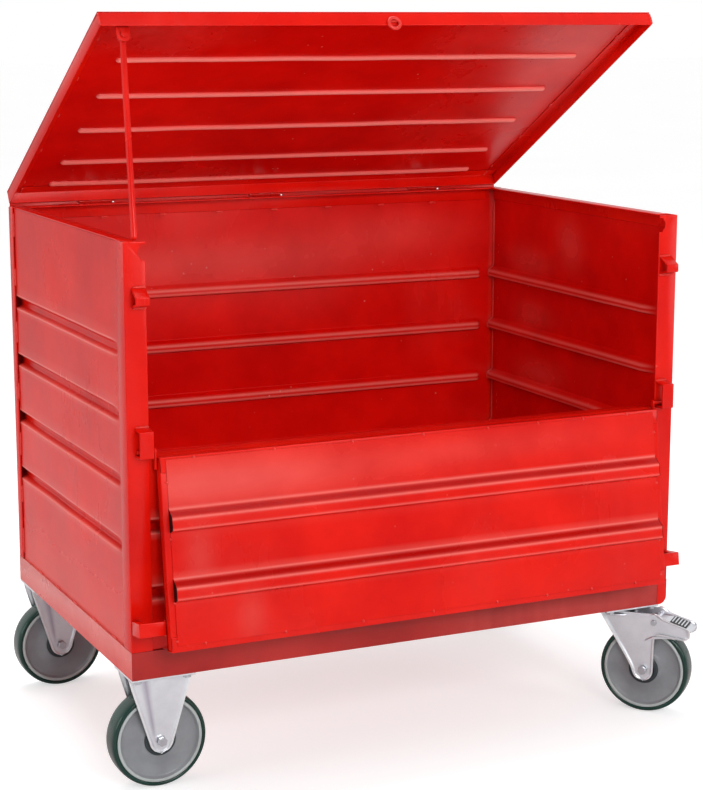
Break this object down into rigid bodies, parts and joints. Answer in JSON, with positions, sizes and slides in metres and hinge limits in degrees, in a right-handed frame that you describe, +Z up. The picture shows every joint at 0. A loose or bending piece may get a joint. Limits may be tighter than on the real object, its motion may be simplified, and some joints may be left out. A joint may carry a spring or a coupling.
{
  "type": "lidded waste container trolley",
  "caption": "Swaged sheet-steel waste container on castors, with a rear-hinged top lid held by a prop rod, a fold-down front flap, and braked swivel castors at one end.",
  "frame": {"origin": "middle of the whole footprint (castors, flap, lid and pedals included), on the ground", "axes": "+Z up, +X along the front towards the swivel castors, -Y out of the front flap"},
  "size_m": [1.3668, 0.9322, 1.5362],
  "materials": {
    "red_paint": "glossy, slightly uneven",
    "zinc": "bright zinc plate",
    "wheel_grey": "moulded, satin",
    "green_tread": "polyurethane, glossy",
    "dark_plastic": "moulded, satin"
  },
  "bodies": {
    "container": {"base_long_rails": "red_paint", "base_end_rails": "red_paint", "floor_bearers": "red_paint", "castor_pads": "red_paint", "floor_sheet": "red_paint", "left_wall_panel": "red_paint", "right_wall_panel": "red_paint", "rear_wall_panel": "red_paint", "lower_front_panel": "red_paint", "lower_front_rail": "red_paint", "front_left_post": "red_paint", "front_right_post": "red_paint", "rear_posts": "red_paint", "side_top_rims": "red_paint", "rear_top_rim": "red_paint", "flap_hinge_straps": "red_paint", "flap_keepers": "red_paint", "prop_rest": "red_paint", "lid_hinge_wall_leaves": "red_paint", "lid_hinge_pins": "red_paint", "castor_bolts": "zinc", "castor_kingpins": "zinc", "castor_plate_front_right": "zinc", "castor_plate_rear_right": "zinc", "castor_fork_front_left": "zinc", "axle_bolt_front_left": "zinc", "castor_fork_rear_left": "zinc", "axle_bolt_rear_left": "zinc"},
    "lid": {"lid_sheet": "red_paint", "lid_edge_front_rear": "red_paint", "lid_edge_sides": "red_paint", "padlock_eye": "red_paint", "rod_bracket": "red_paint", "rod_pivot_pin": "red_paint", "lid_hinge_lid_leaves": "red_paint"},
    "prop_rod": {"prop_rod": "red_paint"},
    "flap": {"flap_frame": "red_paint", "flap_panel": "red_paint", "flap_hinge_pins": "red_paint", "flap_stop_lugs": "red_paint"},
    "wheel_front_left": {"wheel_centre_front_left": "wheel_grey", "wheel_tread_front_left": "green_tread", "bearing_caps_front_left": "dark_plastic"},
    "wheel_rear_left": {"wheel_centre_rear_left": "wheel_grey", "wheel_tread_rear_left": "green_tread", "bearing_caps_rear_left": "dark_plastic"},
    "wheel_front_right": {"wheel_centre_front_right": "wheel_grey", "wheel_tread_front_right": "green_tread", "bearing_caps_front_right": "dark_plastic"},
    "wheel_rear_right": {"wheel_centre_rear_right": "wheel_grey", "wheel_tread_rear_right": "green_tread", "bearing_caps_rear_right": "dark_plastic"},
    "fork_front_right": {"castor_fork_front_right": "zinc", "axle_bolt_front_right": "zinc", "brake_pin_front_right": "zinc"},
    "pedal_front_right": {"brake_pedal_front_right": "zinc"},
    "fork_rear_right": {"castor_fork_rear_right": "zinc", "axle_bolt_rear_right": "zinc", "brake_pin_rear_right": "zinc"},
    "pedal_rear_right": {"brake_pedal_rear_right": "zinc"}
  },
  "joints": [
    {"name": "lid_hinge", "type": "hinge", "parent": "container", "child": "lid", "pos_m": [-0.02586, 0.43227, 1.112], "axis": [1, 0, 0], "range_deg": [0, 30]},
    {"name": "prop_rod_fold", "type": "hinge", "parent": "lid", "child": "prop_rod", "pos_m": [-0.59986, -0.2485, 1.48888], "axis": [0, -0.866, 0.5], "range_deg": [0, 93]},
    {"name": "flap_hinge", "type": "hinge", "parent": "container", "child": "flap", "pos_m": [-0.02586, -0.38073, 0.702], "axis": [-1, 0, 0], "range_deg": [0, 172]},
    {"name": "front_left_wheel_spin", "type": "hinge", "parent": "container", "child": "wheel_front_left", "pos_m": [-0.58336, -0.31773, 0.1], "axis": [0, 1, 0], "continuous": true},
    {"name": "rear_left_wheel_spin", "type": "hinge", "parent": "container", "child": "wheel_rear_left", "pos_m": [-0.58336, 0.36627, 0.1], "axis": [0, 1, 0], "continuous": true},
    {"name": "front_right_swivel", "type": "hinge", "parent": "container", "child": "fork_front_right", "pos_m": [0.51514, -0.31773, 0.227], "axis": [0, 0, 1], "continuous": true},
    {"name": "front_right_wheel_spin", "type": "hinge", "parent": "fork_front_right", "child": "wheel_front_right", "pos_m": [0.55863, -0.36603, 0.1], "axis": [0.7431, 0.6691, 0], "continuous": true},
    {"name": "front_right_brake_pedal", "type": "hinge", "parent": "fork_front_right", "child": "pedal_front_right", "pos_m": [0.57335, -0.38238, 0.211], "axis": [0.7431, 0.6691, 0], "range_deg": [0, 12]},
    {"name": "rear_right_swivel", "type": "hinge", "parent": "container", "child": "fork_rear_right", "pos_m": [0.51514, 0.36627, 0.227], "axis": [0, 0, 1], "continuous": true},
    {"name": "rear_right_wheel_spin", "type": "hinge", "parent": "fork_rear_right", "child": "wheel_rear_right", "pos_m": [0.57452, 0.39271, 0.1], "axis": [-0.4067, 0.9135, 0], "continuous": true},
    {"name": "rear_right_brake_pedal", "type": "hinge", "parent": "fork_rear_right", "child": "pedal_rear_right", "pos_m": [0.59462, 0.40166, 0.211], "axis": [-0.4067, 0.9135, 0], "range_deg": [0, 12]}
  ],
  "couplings": [
    {"joint": "prop_rod_fold", "follows": "lid_hinge", "ratio": 3.1}
  ]
}
